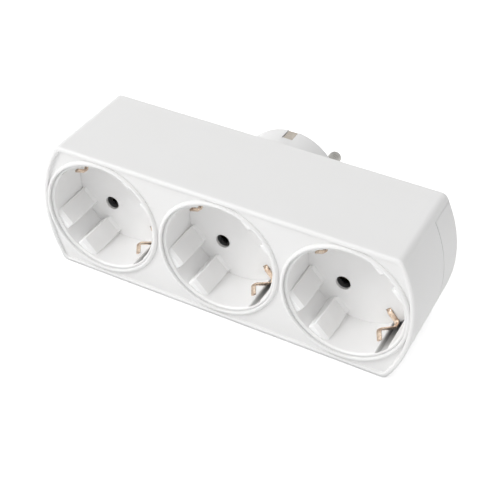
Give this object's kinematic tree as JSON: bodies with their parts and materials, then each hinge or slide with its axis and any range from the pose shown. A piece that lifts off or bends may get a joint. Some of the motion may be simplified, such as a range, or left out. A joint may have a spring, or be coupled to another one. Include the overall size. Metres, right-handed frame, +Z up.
{
  "type": "multi socket adapter",
  "caption": "Plug-in adapter with a row of round recessed sockets turned on the row, in a white two-shell case with bowed ends and an earthed round-pin plug on its back.",
  "frame": {"origin": "centre of the bounding box at the bottom: midway along the row, midway between the front face and the pin tips, on the surface that the case rests on", "axes": "+X along the row of sockets to the right as seen from the front, +Y from the front face to the plug, +Z up; the sockets face -Y"},
  "size_m": [0.1356, 0.076, 0.048],
  "materials": {
    "case": "satin white moulded plastic",
    "well": "satin white moulded plastic",
    "copper_alloy": "plain rolled strip",
    "pin_metal": "nickel plated",
    "screw_steel": "zinc plated"
  },
  "bodies": {
    "root": {"front_housing": "case", "rear_cover": "case", "socket_well_left": "well", "earth_clip_left_lower": "copper_alloy", "earth_clip_left_upper": "copper_alloy", "line_contact_left": "copper_alloy", "neutral_contact_left": "copper_alloy", "socket_well_middle": "well", "earth_clip_middle_lower": "copper_alloy", "earth_clip_middle_upper": "copper_alloy", "line_contact_middle": "copper_alloy", "neutral_contact_middle": "copper_alloy", "socket_well_right": "well", "earth_clip_right_lower": "copper_alloy", "earth_clip_right_upper": "copper_alloy", "line_contact_right": "copper_alloy", "neutral_contact_right": "copper_alloy", "earth_plate": "copper_alloy", "line_busbar": "copper_alloy", "neutral_busbar": "copper_alloy", "plug_pin_left": "pin_metal", "plug_pin_right": "pin_metal", "plug_earth_contact_top": "copper_alloy", "plug_earth_contact_bottom": "copper_alloy", "cover_screws": "screw_steel"}
  },
  "joints": []
}
